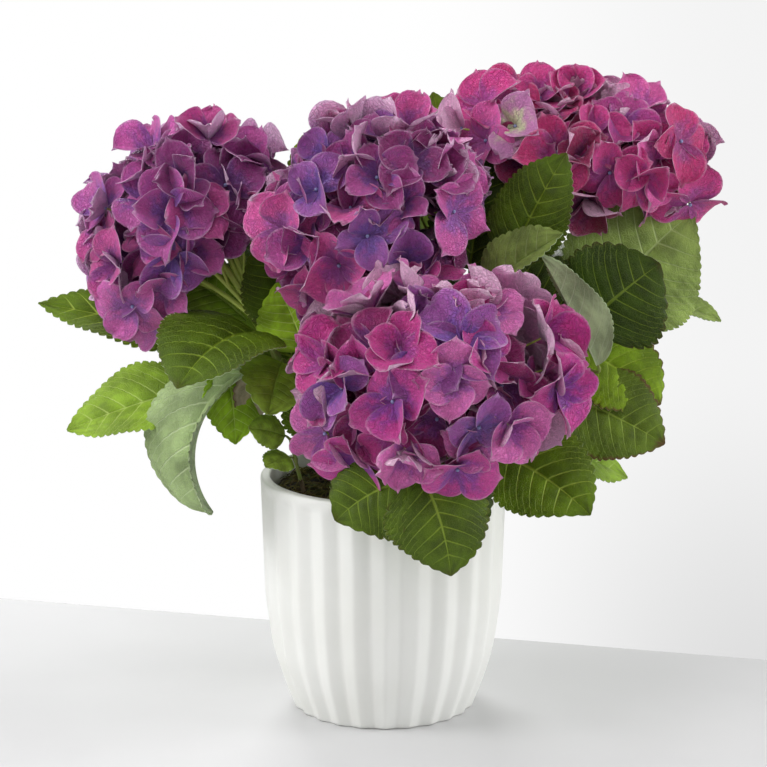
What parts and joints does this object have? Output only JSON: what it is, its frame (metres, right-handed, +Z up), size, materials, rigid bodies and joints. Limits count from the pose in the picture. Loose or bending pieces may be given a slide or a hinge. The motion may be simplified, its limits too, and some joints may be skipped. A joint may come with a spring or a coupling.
{
  "type": "potted hydrangea shrub",
  "caption": "Bushy flowering shrub with large round mophead blooms and toothed oval leaves on woody canes, in a plain ribbed pot that stands on its flat underside.",
  "frame": {"origin": "centre of the pot's flat underside", "axes": "+Z up, along the pot's axis; -Y is the front, towards the lowest and nearest bloom; +X to the right as seen from the front"},
  "size_m": [0.4621, 0.3886, 0.4236],
  "materials": {
    "pot": "matt white glaze",
    "root_ball": "damp peat",
    "moss": "dry moss strands",
    "cane": "rough bark",
    "leaf": "satin leaf",
    "young_leaf": "satin leaf",
    "bloom_front": "matt petals",
    "bloom_middle": "matt petals",
    "bloom_left": "matt petals",
    "bloom_right": "matt petals"
  },
  "bodies": {
    "root": {"pot": "pot", "root_ball": "root_ball", "moss": "moss", "cane_left": "cane", "cane_middle": "cane", "cane_front": "cane", "cane_right": "cane", "cane_side": "cane", "cane_back_left": "cane", "cane_back_right": "cane", "cane_young": "cane", "leaves_left": "leaf", "leaves_middle": "leaf", "leaves_front": "leaf", "leaves_right": "leaf", "leaves_side": "leaf", "leaves_back_left": "leaf", "leaves_back_right": "leaf", "leaves_young": "young_leaf", "bloom_front": "bloom_front", "bloom_middle": "bloom_middle", "bloom_left": "bloom_left", "bloom_right": "bloom_right"}
  },
  "joints": []
}
